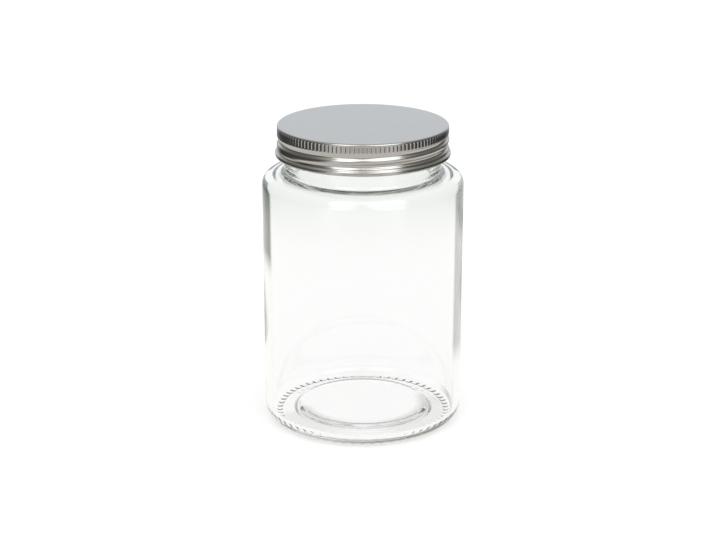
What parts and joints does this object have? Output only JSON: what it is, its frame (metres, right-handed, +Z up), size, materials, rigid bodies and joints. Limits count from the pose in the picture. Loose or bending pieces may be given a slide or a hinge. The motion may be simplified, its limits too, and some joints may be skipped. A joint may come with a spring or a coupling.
{
  "type": "spice jar",
  "caption": "Round clear glass storage jar with a short neck, a knurled metal screw lid and a seal disc inside the lid.",
  "frame": {"origin": "centre of the ring that the jar stands on, on the plane of the table", "axes": "+Z up along the jar's axis, through the lid; -Y towards the viewer of the picture; +X to the right"},
  "size_m": [0.07, 0.07, 0.1066],
  "materials": {
    "glass": "clear moulded soda-lime glass with a faint green tint",
    "lid_metal": "bright rolled steel sheet with a fine grain",
    "seal": "white closed-cell foam seal disc, matt"
  },
  "bodies": {
    "jar": {"glass_jar": "glass"},
    "seal": {"sealing_liner": "seal"},
    "lid": {"lid_shell": "lid_metal"}
  },
  "joints": [
    {"name": "lid_lift", "type": "slide", "parent": "jar", "child": "seal", "axis": [0, 0, 1], "range_m": [0, 0.0112]},
    {"name": "lid_turn", "type": "hinge", "parent": "seal", "child": "lid", "pos_m": [0, 0, 0.1], "axis": [0, 0, 1], "range_deg": [0, 1260]}
  ],
  "couplings": [
    {"joint": "lid_lift", "follows": "lid_turn", "m_per_rad": 0.0005093}
  ]
}
